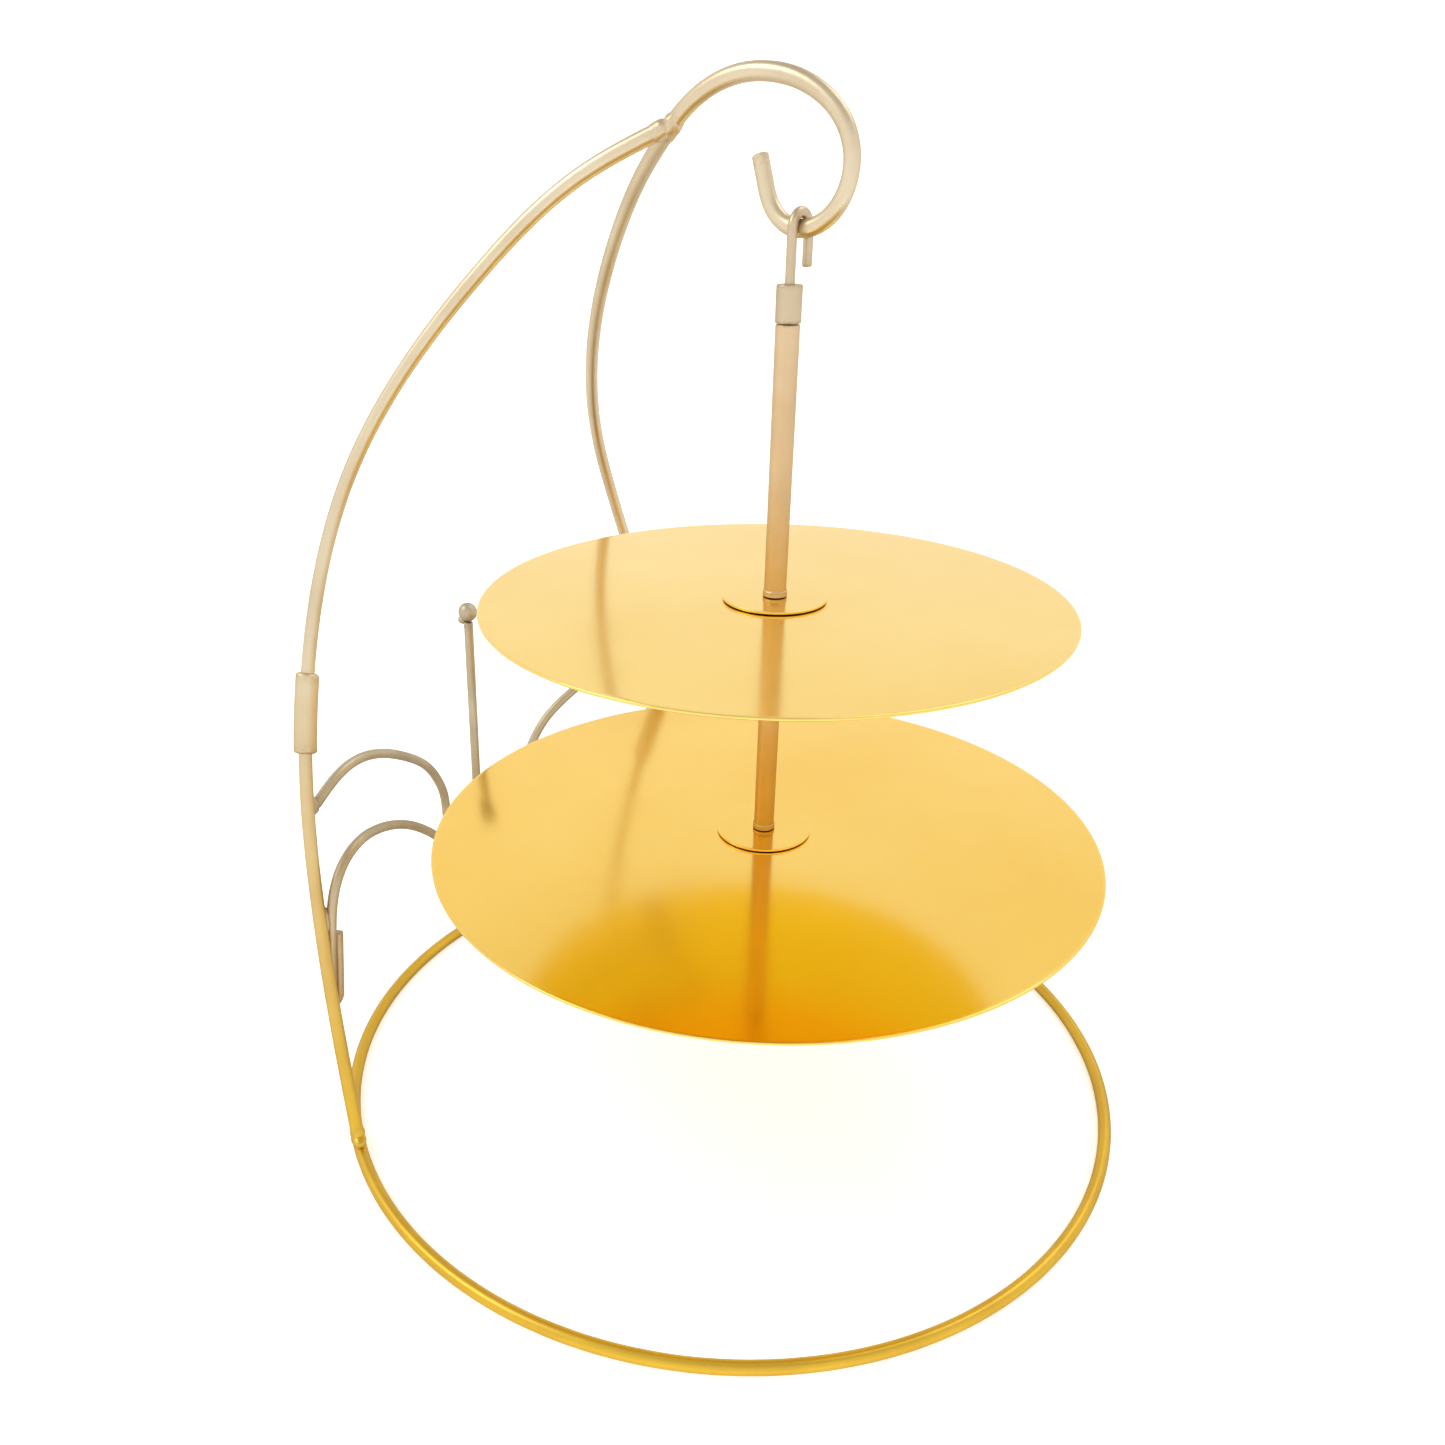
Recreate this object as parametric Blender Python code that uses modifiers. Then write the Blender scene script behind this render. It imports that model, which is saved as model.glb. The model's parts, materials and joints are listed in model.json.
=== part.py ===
"""Two-tier hanging cake stand, in metres, +Z up.

A round rod ring stands on the table. Two side rods rise from it, pass through
a sleeve each, and meet over the middle, where a hook hangs the tiers: two
round plates on one central post. A scrolled panel closes the back. The frame
is mirrored across the plane x = 0, and its back faces +Y.
"""

import math

import bpy
import numpy as np
from mathutils import Vector

# Driving dimensions
GAP = 0.0003  # left between pieces that touch or are welded

RING_RADIUS = 0.161  # centreline of the base ring
FRAME_ROD = 0.0025  # radius of the ring, side rods and hook
SCROLL_ROD = 0.002  # radius of the back panel's rods
FINIAL_RADIUS = 0.0041
FINIAL_HEIGHT = 0.1672  # middle of the ball on the centre rod
FINIAL_LEAN = 0.0075  # how far the ball stands in front of that rod's foot

PIVOT_HEIGHT = 0.3172  # middle of the hook's rod where the tiers hang
PIVOT_FORWARD = 0.0113  # how far that point stands in front of the ring's axis
BOWL_RADIUS = 0.0158  # the hook's lower bend
NOSE_RADIUS = 0.0227  # its front bend
CREST_RADIUS = 0.0446  # its slow bend back to the side rods
CREST_SETBACK = 0.0125  # how far its highest point stands behind the nose bend's middle
TIP_BEND_RADIUS = 0.0136  # the lower bend's own tip side
TIP_BEND_END = math.radians(341)
TIP_LENGTH = 0.0099  # straight end of the hook
HOOK_SETBACK = 0.6 * FRAME_ROD  # keeps the hook's end off the arms' ends
CREST_ANGLE = math.radians(42.9)

FOOT_ANGLE = math.radians(63.7)  # of a side rod on the ring, from the back
SLEEVE_LOW = 0.1406  # heights of the sleeves' ends
SLEEVE_HIGH = 0.169
SLEEVE_WALL = 0.0015

ARCH_TOP = 0.129  # highest points of the two scrolls
CURL_TOP = 0.103
ARCH_JOINS = 0.1215  # heights where the scrolls' planes meet the side rods
CURL_JOINS = 0.075

LOWER_PLATE_RADIUS = 0.127
UPPER_PLATE_RADIUS = 0.1016
PLATE_THICK = 0.001
UPPER_PLATE_DROP = 0.110  # plates' top faces below the pivot
LOWER_PLATE_DROP = 0.2012
FLANGE_RADIUS = 0.018
FLANGE_THICK = 0.0009
FLANGE_BEVEL = 0.0003
POST_RADIUS = 0.0038
POST_BEAD = 0.0007  # how far the bead at a post's foot stands out
STUD_RADIUS = 0.002
STUD_DEPTH = 0.010  # thread engaged in a post
SCREW_HEAD_RADIUS = 0.0038
SCREW_FACE_RADIUS = 0.003
SCREW_HEAD_THICK = 0.0024
WASHER_RADIUS = 0.006
WASHER_THICK = 0.0008

WIRE_RADIUS = 0.0015  # of the hanger
TAIL_LENGTH = 0.01
COLLAR_RADIUS = 0.004
COLLAR_DROP = 0.0142
COLLAR_LENGTH = 0.0105
COLLAR_ROOF = 0.002
COLLAR_ROUNDING = 0.0006
HANGER_NUT_RADIUS = 0.0024
HANGER_NUT_THICK = 0.002
SPIGOT_LENGTH = 0.0035

RING_SIDES = 12  # an even count, turned so that a flat side faces the table
RING_HEIGHT = FRAME_ROD * math.cos(math.pi / RING_SIDES)
HOLE_RADIUS = STUD_RADIUS + GAP
LOOP_RADIUS = FRAME_ROD + GAP + WIRE_RADIUS
JUNCTION = Vector((
    0,
    -PIVOT_FORWARD + NOSE_RADIUS - BOWL_RADIUS + CREST_SETBACK + CREST_RADIUS * math.sin(CREST_ANGLE),
    PIVOT_HEIGHT + BOWL_RADIUS + NOSE_RADIUS - CREST_RADIUS * (1 - math.cos(CREST_ANGLE)),
))

# A side rod's route: degrees from the back, reach as a share of the ring's
# radius, and height as a share of the junction's height.
SIDE_ROUTE = (
    (54.5, 1.007, 0.149),
    (46.7, 1.024, 0.265),
    (40.4, 1.037, 0.372),
    (35.1, 1.030, 0.481),
    (30.5, 0.996, 0.589),
    (26.0, 0.931, 0.688),
    (22.0, 0.807, 0.785),
    (18.0, 0.621, 0.881),
    (12.6, 0.413, 0.959),
)

# The scrolls' routes: share of the way from the centre rod to the side rod,
# and share of the scroll's own height.
ARCH_ROUTE = (
    (0.245, 0.62),
    (0.252, 0.68),
    (0.288, 0.753),
    (0.345, 0.822),
    (0.42, 0.877),
    (0.50, 0.92),
    (0.59, 0.96),
    (0.68, 0.988),
    (0.77, 1.0),
    (0.86, 0.992),
    (0.94, 0.968),
    (1.02, 0.935),
)
CURL_ROUTE = (
    (0.0, 0.427),
    (0.138, 0.50),
    (0.264, 0.641),
    (0.394, 0.791),
    (0.528, 0.906),
    (0.673, 0.981),
    (0.795, 1.0),
    (0.902, 0.956),
    (0.969, 0.859),
    (0.998, 0.757),
    (1.022, 0.641),
    (1.052, 0.476),
)
CURL_BEND = SCROLL_ROD + 2 * GAP  # radius where the curl turns back up
CURL_TIP = (0.969, 0.718)
PANEL_NEST = FRAME_ROD + SCROLL_ROD + 6 * GAP  # from a side rod's middle to share 1

PATH_STEP = 0.005

# Finishes: name, colour, roughness and metallic value
GOLD_PLATE = ("gloss_gold", (0.95, 0.66, 0.20), 0.22, 0.9)
GOLD_ROD = ("satin_gold", (0.78, 0.58, 0.25), 0.36, 0.9)
DARK_ROD = ("aged_gold", (0.62, 0.46, 0.22), 0.42, 0.9)


def clear_scene():
    for obj in list(bpy.data.objects):
        bpy.data.objects.remove(obj, do_unlink=True)


def make_collection(name):
    collection = bpy.data.collections.new(name)
    bpy.context.scene.collection.children.link(collection)
    return collection


def make_material(name, colour, roughness, metallic):
    material = bpy.data.materials.new(name)
    material.use_nodes = True
    shader = material.node_tree.nodes["Principled BSDF"]
    shader.inputs["Base Color"].default_value = (*colour, 1)
    shader.inputs["Roughness"].default_value = roughness
    shader.inputs["Metallic"].default_value = metallic
    return material


def link(obj, finish, parent=None):
    name, colour, roughness, metallic = finish
    obj.data.materials.append(make_material(f"{obj.name}_{name}", colour, roughness, metallic))
    parts.objects.link(obj)
    obj.parent = parent
    return obj


# Paths

def smooth_path(points, step=PATH_STEP):
    """A natural cubic spline through the points, sampled about every step."""
    knots = np.array([tuple(p) for p in points])
    chord = np.linalg.norm(np.diff(knots, axis=0), axis=1)
    s = np.concatenate([[0], np.cumsum(chord)])
    n = len(s)
    system = np.eye(n)
    right = np.zeros((n, 3))
    for i in range(1, n - 1):
        before, after = chord[i - 1], chord[i]
        system[i, i - 1 : i + 2] = before, 2 * (before + after), after
        right[i] = 6 * ((knots[i + 1] - knots[i]) / after - (knots[i] - knots[i - 1]) / before)
    bend = np.linalg.solve(system, right)
    path = []
    for t in np.linspace(0, s[-1], max(2, round(s[-1] / step) + 1)):
        i = min(max(int(np.searchsorted(s, t)) - 1, 0), n - 2)
        h = chord[i]
        a, b = (s[i + 1] - t) / h, (t - s[i]) / h
        point = a * knots[i] + b * knots[i + 1]
        point += ((a**3 - a) * bend[i] + (b**3 - b) * bend[i + 1]) * h * h / 6
        path.append(Vector(point))
    return path


def trim(path, start=0.0, end=0.0):
    """The path with these lengths taken off its two ends."""
    for cut in (start, end):
        path = list(path)
        while cut > 0:
            first = (path[1] - path[0]).length
            if cut < first * 0.999:
                path[0] = path[0].lerp(path[1], cut / first)
                break
            cut -= first
            path.pop(0)
        path.reverse()
    return path


def at_height(path, height):
    """Where a rising path passes this height, and how far along it that is."""
    run = 0.0
    for low, high in zip(path, path[1:]):
        length = (high - low).length
        if low.z <= height <= high.z:
            share = (height - low.z) / (high.z - low.z)
            return low.lerp(high, share), run + share * length
        run += length
    raise ValueError(f"the path never passes {height}")


def butt_length(direction, other_direction, other_radius, own_radius):
    """Length from a rod's axis to the end of a rod that is butted against it."""
    cosine = abs(direction.normalized().dot(other_direction.normalized()))
    sine = math.sqrt(1 - cosine * cosine)
    return (other_radius + GAP + own_radius * cosine) / sine


def butted(path, place, direction, other_radius, own_radius):
    """The path, cut back until its flat end clears a rod that runs through place."""
    along = direction.normalized()
    while True:
        into = (path[-1] - path[-2]).normalized()
        away = path[-1] - place
        beside = (away - along * away.dot(along)).length
        if away.dot(into) <= 0 and beside >= other_radius + GAP + own_radius * abs(into.dot(along)):
            return path
        path = trim(path, 0, GAP)


def length_of(path):
    return sum((b - a).length for a, b in zip(path, path[1:]))


def mirrored(path, side):
    return [Vector((p.x * side, p.y, p.z)) for p in path]


# Solids

def rod(name, path, radius, finish, parent=None):
    curve = bpy.data.curves.new(name, "CURVE")
    curve.dimensions = "3D"
    curve.bevel_depth = radius
    curve.bevel_resolution = 2
    curve.use_fill_caps = True
    spline = curve.splines.new("POLY")
    spline.points.add(len(path) - 1)
    for point, place in zip(spline.points, path):
        point.co = (*place, 1)
    return link(bpy.data.objects.new(name, curve), finish, parent)


def tube(name, path, inner_radius, wall, finish):
    obj = rod(name, path, inner_radius, finish)
    obj.data.use_fill_caps = False
    solidify = obj.modifiers.new("wall", "SOLIDIFY")
    solidify.thickness = wall
    solidify.offset = 1
    return obj


def turned(name, profile, finish, steps, closed=False, place=(0, 0, 0), parent=None):
    """A profile of (radius, height) points, top to bottom on its outer side."""
    count = len(profile)
    edges = [(i, (i + 1) % count) for i in range(count if closed else count - 1)]
    mesh = bpy.data.meshes.new(name)
    mesh.from_pydata([(r, 0, z) for r, z in profile], edges, [])
    obj = bpy.data.objects.new(name, mesh)
    screw = obj.modifiers.new("turn", "SCREW")
    screw.steps = screw.render_steps = steps
    screw.use_merge_vertices = True
    screw.merge_threshold = 0.00001
    screw.use_smooth_shade = True
    obj.location = place
    return link(obj, finish, parent)


def ring_profile(inner, outer, low, high):
    """A plain washer's section, down its outer side and up its bore."""
    return [(outer, high), (outer, low), (inner, low), (inner, high)]


# The frame

def make_base_ring():
    turn = math.pi / RING_SIDES
    profile = [
        (
            RING_RADIUS + FRAME_ROD * math.cos(turn - 2 * turn * i),
            RING_HEIGHT + FRAME_ROD * math.sin(turn - 2 * turn * i),
        )
        for i in range(RING_SIDES)
    ]
    turned("base_ring", profile, GOLD_ROD, 96, closed=True)


def side_rod_path():
    """The left side rod's whole route, from the ring to the junction."""
    points = [Vector((
        -RING_RADIUS * math.sin(FOOT_ANGLE),
        RING_RADIUS * math.cos(FOOT_ANGLE),
        RING_HEIGHT,
    ))]
    for degrees, reach, height in SIDE_ROUTE:
        angle = math.radians(degrees)
        radius = reach * RING_RADIUS
        points.append(Vector((
            -radius * math.sin(angle),
            radius * math.cos(angle),
            height * JUNCTION.z,
        )))
    points.append(JUNCTION)
    return smooth_path(points)


def make_side_rods(path):
    """Lower upright, sleeve and upper arm on each side, parted inside the sleeve."""
    along_ring = Vector((math.cos(FOOT_ANGLE), math.sin(FOOT_ANGLE), 0))
    foot_cut = butt_length(path[1] - path[0], along_ring, FRAME_ROD, FRAME_ROD)
    # The arms' ends clear each other and the hook's end at the junction.
    last = (path[-1] - path[-2]).normalized()
    junction_cut = (FRAME_ROD + 2 * GAP) / abs(last.x)
    whole = length_of(path)
    low = at_height(path, SLEEVE_LOW)[1]
    high = at_height(path, SLEEVE_HIGH)[1]
    middle = (low + high) / 2
    lower = trim(path, foot_cut, whole - middle + GAP / 2)
    upper = trim(path, middle + GAP / 2, junction_cut)
    sleeve = trim(path, low, whole - high)
    for side, word in ((1, "left"), (-1, "right")):
        rod(f"{word}_upright", mirrored(lower, side), FRAME_ROD, GOLD_ROD)
        rod(f"{word}_arm", mirrored(upper, side), FRAME_ROD, GOLD_ROD)
        tube(f"{word}_sleeve", mirrored(sleeve, side), FRAME_ROD + GAP, SLEEVE_WALL, GOLD_ROD)


def arc(centre_y, centre_z, radius, start, end, count):
    """Points on a circle in the plane x = 0, with angles from +Y to +Z."""
    return [
        Vector((0, centre_y + radius * math.cos(a), centre_z + radius * math.sin(a)))
        for a in np.linspace(start, end, count)
    ]


def make_top_hook():
    """Crest, nose, bowl and a straight tip, that run into each other."""
    bowl_y = -PIVOT_FORWARD
    bowl_z = PIVOT_HEIGHT + BOWL_RADIUS
    crest_y = bowl_y + NOSE_RADIUS - BOWL_RADIUS + CREST_SETBACK
    top_z = bowl_z + NOSE_RADIUS
    crest_start = math.pi / 2 - CREST_ANGLE
    path = arc(crest_y, top_z - CREST_RADIUS, CREST_RADIUS, crest_start, math.pi / 2, 9)
    # The nose is drawn out to the back, up to the crest.
    path += [
        Vector((0, crest_y - (NOSE_RADIUS + CREST_SETBACK) * math.sin(a), bowl_z + NOSE_RADIUS * math.cos(a)))
        for a in np.linspace(0, math.pi / 2, 13)[1:]
    ]
    # The lowest point is where the two halves of the bowl meet.
    path += arc(bowl_y, bowl_z, BOWL_RADIUS, math.pi, 1.5 * math.pi, 9)[1:]
    path += arc(bowl_y, PIVOT_HEIGHT + TIP_BEND_RADIUS, TIP_BEND_RADIUS, 1.5 * math.pi, TIP_BEND_END, 7)[1:]
    tip = Vector((0, -math.sin(TIP_BEND_END), math.cos(TIP_BEND_END)))
    bend_end = path[-1]
    path += [bend_end + tip * TIP_LENGTH * share for share in (0.33, 0.67, 1)]
    rod("top_hook", trim(path, HOOK_SETBACK), FRAME_ROD, GOLD_ROD)


def centre_axis(height):
    """Point on the leaning centre rod's axis at this height."""
    foot = Vector((0, RING_RADIUS, RING_HEIGHT))
    ball = Vector((0, RING_RADIUS - FINIAL_LEAN, FINIAL_HEIGHT))
    return foot.lerp(ball, (height - foot.z) / (ball.z - foot.z))


def make_centre_rod():
    """It stands on the ring's outer top, and the ball sits on its end."""
    up = (centre_axis(1) - centre_axis(0)).normalized()
    start = centre_axis(RING_HEIGHT) + up * butt_length(up, Vector((1, 0, 0)), FRAME_ROD, SCROLL_ROD)
    end = centre_axis(FINIAL_HEIGHT) - up * (FINIAL_RADIUS + GAP)
    rod("centre_rod", [start, end], SCROLL_ROD, DARK_ROD)
    ball = [
        (FINIAL_RADIUS * math.sin(a), FINIAL_RADIUS * math.cos(a))
        for a in np.linspace(0, math.pi, 11)
    ]
    ball[0], ball[-1] = (0, FINIAL_RADIUS), (0, -FINIAL_RADIUS)
    turned("ball_finial", ball, GOLD_ROD, 20, place=centre_axis(FINIAL_HEIGHT))


def panel_point(share, height, join):
    """A point at this height, between the centre rod and a side rod's point."""
    start = centre_axis(height)
    span = Vector((join.x - start.x, join.y - start.y, 0))
    return start + span.normalized() * (span.length - PANEL_NEST) * share


def curl_path(join):
    """From the centre rod over the curl's arch, down the side rod, and back up."""
    path = smooth_path([panel_point(s, h * CURL_TOP, join) for s, h in CURL_ROUTE])
    heading = (path[-1] - path[-2]).normalized()
    outward = Vector((join.x, join.y - RING_RADIUS, 0)).normalized()
    inward = (-outward - heading * heading.dot(-outward)).normalized()
    middle = path[-1] + inward * CURL_BEND
    for angle in np.linspace(0, math.pi, 7)[1:]:
        path.append(middle - inward * CURL_BEND * math.cos(angle) + heading * CURL_BEND * math.sin(angle))
    tip = panel_point(CURL_TIP[0], CURL_TIP[1] * CURL_TOP, join)
    path.append(path[-1].lerp(tip, 0.5))
    path.append(tip)
    return path


def make_scrolls(side_path):
    """Arch and curl on each side of the centre rod."""
    up = Vector((0, 0, 1))
    curl_join = at_height(side_path, CURL_JOINS)[0]
    curl = curl_path(curl_join)
    rod_up = centre_axis(1) - centre_axis(0)
    curl = trim(curl, butt_length(curl[1] - curl[0], rod_up, SCROLL_ROD, SCROLL_ROD))

    arch_join, run = at_height(side_path, ARCH_JOINS)
    arch = smooth_path([panel_point(s, h * ARCH_TOP, arch_join) for s, h in ARCH_ROUTE])
    # Its inner leg lands on the curl, straight below.
    foot = arch[0]
    before, after = next(pair for pair in zip(curl, curl[1:]) if pair[1].x < foot.x)
    landing = before.lerp(after, (foot.x - before.x) / (after.x - before.x))
    drop = butt_length(up, after - before, SCROLL_ROD, SCROLL_ROD)
    arch.insert(0, Vector((foot.x, foot.y, landing.z + drop)))
    # Its outer end butts against the side rod.
    arch = butted(arch, arch_join, trim(side_path, run)[1] - arch_join, FRAME_ROD, SCROLL_ROD)

    for side, word in ((1, "left"), (-1, "right")):
        rod(f"{word}_arch_scroll", mirrored(arch, side), SCROLL_ROD, DARK_ROD)
        rod(f"{word}_curl_scroll", mirrored(curl, side), SCROLL_ROD, DARK_ROD)


# The hanging tiers, built on the post's axis below the pivot

def hang_tilt():
    """The lean that brings the plates' centre of mass under the hook's rod."""
    lower, upper = LOWER_PLATE_RADIUS**2, UPPER_PLATE_RADIUS**2
    drop = (lower * LOWER_PLATE_DROP + upper * UPPER_PLATE_DROP) / (lower + upper)
    return math.atan(LOOP_RADIUS / drop)


def make_hanger(hang):
    wire_end = COLLAR_DROP + COLLAR_ROOF + GAP + HANGER_NUT_THICK + GAP
    path = [Vector((-LOOP_RADIUS, 0, -wire_end)), Vector((-LOOP_RADIUS, 0, -COLLAR_DROP / 2))]
    for angle in np.linspace(math.pi, 0, 13):
        path.append(Vector((LOOP_RADIUS * math.cos(angle), 0, LOOP_RADIUS * math.sin(angle))))
    path.append(Vector((LOOP_RADIUS, 0, -TAIL_LENGTH)))
    rod("hanger_hook", path, WIRE_RADIUS, DARK_ROD, hang)
    top = -COLLAR_DROP - COLLAR_ROOF - GAP
    nut = ring_profile(WIRE_RADIUS + GAP, HANGER_NUT_RADIUS, top - HANGER_NUT_THICK, top)
    turned("hanger_nut", nut, GOLD_ROD, 24, True, (-LOOP_RADIUS, 0, 0), hang)


def make_collar(axis):
    """A capped sleeve: the hanger turns in its roof, and the post plugs in below."""
    bore = WIRE_RADIUS + GAP
    cavity = HANGER_NUT_RADIUS + GAP
    top, bottom = -COLLAR_DROP, -COLLAR_DROP - COLLAR_LENGTH
    profile = [
        (COLLAR_RADIUS - COLLAR_ROUNDING, top),
        (COLLAR_RADIUS, top - COLLAR_ROUNDING),
        (COLLAR_RADIUS, bottom),
        (cavity, bottom),
        (cavity, top - COLLAR_ROOF),
        (bore, top - COLLAR_ROOF),
        (bore, top),
    ]
    turned("collar", profile, GOLD_ROD, 32, closed=True, parent=axis)


def foot_bead(low):
    """The bead round a post's foot, down its outer side."""
    out = POST_RADIUS + POST_BEAD
    return [
        (POST_RADIUS, low + 4 * POST_BEAD),
        (out, low + 3 * POST_BEAD),
        (out, low + POST_BEAD),
        (POST_RADIUS, low),
    ]


def bore_up(low):
    """A blind threaded hole from below, from the post's foot up to its axis."""
    return [(HOLE_RADIUS, low), (HOLE_RADIUS, low + STUD_DEPTH + GAP), (0, low + STUD_DEPTH + GAP)]


def make_posts(axis):
    spigot = HANGER_NUT_RADIUS
    shoulder = -COLLAR_DROP - COLLAR_LENGTH - GAP
    foot = -UPPER_PLATE_DROP + GAP + FLANGE_THICK + GAP
    upper = [(0, shoulder + SPIGOT_LENGTH), (spigot, shoulder + SPIGOT_LENGTH)]
    upper += [(spigot, shoulder), (POST_RADIUS, shoulder)]
    upper += foot_bead(foot) + bore_up(foot)
    turned("upper_post", upper, GOLD_ROD, 32, parent=axis)

    head = -UPPER_PLATE_DROP - PLATE_THICK - GAP
    foot = -LOWER_PLATE_DROP + GAP + FLANGE_THICK + GAP
    lower = [(0, head - STUD_DEPTH - GAP), (HOLE_RADIUS, head - STUD_DEPTH - GAP)]
    lower += [(HOLE_RADIUS, head), (POST_RADIUS, head)]
    lower += foot_bead(foot) + bore_up(foot)
    turned("lower_post", lower, GOLD_ROD, 32, parent=axis)


def plain_cylinder(radius, low, high):
    return [(0, high), (radius, high), (radius, low), (0, low)]


def make_fasteners(axis):
    """The stud through the upper plate, and the screw and washer under the lower one."""
    high = -UPPER_PLATE_DROP + FLANGE_THICK + 2 * GAP + STUD_DEPTH
    low = -UPPER_PLATE_DROP - PLATE_THICK - GAP - STUD_DEPTH
    turned("upper_stud", plain_cylinder(STUD_RADIUS, low, high), DARK_ROD, 20, parent=axis)

    under = -LOWER_PLATE_DROP - PLATE_THICK - GAP
    washer = ring_profile(HOLE_RADIUS, WASHER_RADIUS, under - WASHER_THICK, under)
    turned("bottom_washer", washer, DARK_ROD, 32, True, parent=axis)

    seat = under - WASHER_THICK - GAP
    tip = -LOWER_PLATE_DROP + FLANGE_THICK + 2 * GAP + STUD_DEPTH
    screw = [
        (0, tip),
        (STUD_RADIUS, tip),
        (STUD_RADIUS, seat),
        (SCREW_HEAD_RADIUS, seat),
        (SCREW_HEAD_RADIUS, seat - SCREW_HEAD_THICK / 2),
        (SCREW_FACE_RADIUS, seat - SCREW_HEAD_THICK),
        (0, seat - SCREW_HEAD_THICK),
    ]
    turned("bottom_screw", screw, DARK_ROD, 24, parent=axis)


def make_plate(word, radius, drop, axis):
    """One tier's flat plate, and the flange that the post above presses on it."""
    plate = ring_profile(HOLE_RADIUS, radius, -drop - PLATE_THICK, -drop)
    turned(f"{word}_plate", plate, GOLD_PLATE, 96, True, parent=axis)
    low = -drop + GAP
    high = low + FLANGE_THICK
    flange = [
        (FLANGE_RADIUS - FLANGE_BEVEL, high),
        (FLANGE_RADIUS, high - FLANGE_BEVEL),
        (FLANGE_RADIUS, low),
        (HOLE_RADIUS, low),
        (HOLE_RADIUS, high),
    ]
    turned(f"{word}_flange", flange, GOLD_ROD, 48, closed=True, parent=axis)


def make_empty(name, location, parent=None):
    empty = bpy.data.objects.new(name, None)
    empty.location = location
    empty.parent = parent
    parts.objects.link(empty)
    return empty


def make_tiers():
    hang = make_empty("hang_point", (0, -PIVOT_FORWARD, PIVOT_HEIGHT))
    hang.rotation_euler = (0, -hang_tilt(), 0)
    axis = make_empty("post_axis", (-LOOP_RADIUS, 0, 0), hang)
    make_hanger(hang)
    make_collar(axis)
    make_posts(axis)
    make_fasteners(axis)
    make_plate("upper", UPPER_PLATE_RADIUS, UPPER_PLATE_DROP, axis)
    make_plate("lower", LOWER_PLATE_RADIUS, LOWER_PLATE_DROP, axis)


clear_scene()
parts = make_collection("tiered_cake_stand")
make_base_ring()
side_path = side_rod_path()
make_side_rods(side_path)
make_top_hook()
make_centre_rod()
make_scrolls(side_path)
make_tiers()
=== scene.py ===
import json
import math

import bmesh
import bpy
import numpy as np
from mathutils import Matrix, Vector


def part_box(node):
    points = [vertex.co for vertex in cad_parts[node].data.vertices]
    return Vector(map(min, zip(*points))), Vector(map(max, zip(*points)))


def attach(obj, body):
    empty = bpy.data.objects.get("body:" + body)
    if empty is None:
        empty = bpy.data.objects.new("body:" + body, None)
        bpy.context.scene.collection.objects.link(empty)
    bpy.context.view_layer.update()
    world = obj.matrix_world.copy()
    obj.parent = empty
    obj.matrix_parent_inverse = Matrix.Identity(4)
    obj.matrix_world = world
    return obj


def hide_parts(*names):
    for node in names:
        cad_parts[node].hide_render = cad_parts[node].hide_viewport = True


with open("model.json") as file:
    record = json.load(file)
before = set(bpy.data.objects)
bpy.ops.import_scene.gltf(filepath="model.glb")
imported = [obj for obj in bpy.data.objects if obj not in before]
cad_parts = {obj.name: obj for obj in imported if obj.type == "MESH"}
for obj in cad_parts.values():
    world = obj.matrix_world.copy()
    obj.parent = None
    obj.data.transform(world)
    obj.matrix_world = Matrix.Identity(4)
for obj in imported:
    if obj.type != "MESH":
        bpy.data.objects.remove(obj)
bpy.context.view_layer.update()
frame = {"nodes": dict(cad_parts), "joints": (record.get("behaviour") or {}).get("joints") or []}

cadNodes = frame["nodes"]
joints = {joint["name"]: joint for joint in frame["joints"]}
mm = 0.001
print("frame loaded,", len(cadNodes), "nodes")

# Camera, floor and light

cameraSettings = {
    "place": (-0.3134, -0.2231, 0.3184),
    "azimuth": -51.48,  # degrees, 0 looks along +Y
    "elevation": 30.87,
    "roll": 1.38,
    "lens": 27.41,
    "shift": (0.0259, 0.1083),
    "nearest": 0.01,
}


def makeCamera(s):
    turn, drop, roll = (math.radians(s[key]) for key in ("azimuth", "elevation", "roll"))
    level = math.cos(drop)
    ahead = Vector((-math.sin(turn) * level, math.cos(turn) * level, -math.sin(drop)))
    across = Vector((math.cos(turn), math.sin(turn), 0))
    upward = across.cross(ahead)
    right = across * math.cos(roll) + upward * math.sin(roll)
    top = upward * math.cos(roll) - across * math.sin(roll)
    data = bpy.data.cameras.new("camera")
    data.lens = s["lens"]
    data.shift_x, data.shift_y = s["shift"]
    data.clip_start = s["nearest"]
    camera = bpy.data.objects.new("camera", data)
    facing = Matrix((right, top, -ahead)).transposed().to_4x4()
    camera.matrix_world = Matrix.Translation(s["place"]) @ facing
    bpy.context.scene.collection.objects.link(camera)
    bpy.context.scene.camera = camera


makeCamera(cameraSettings)

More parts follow.
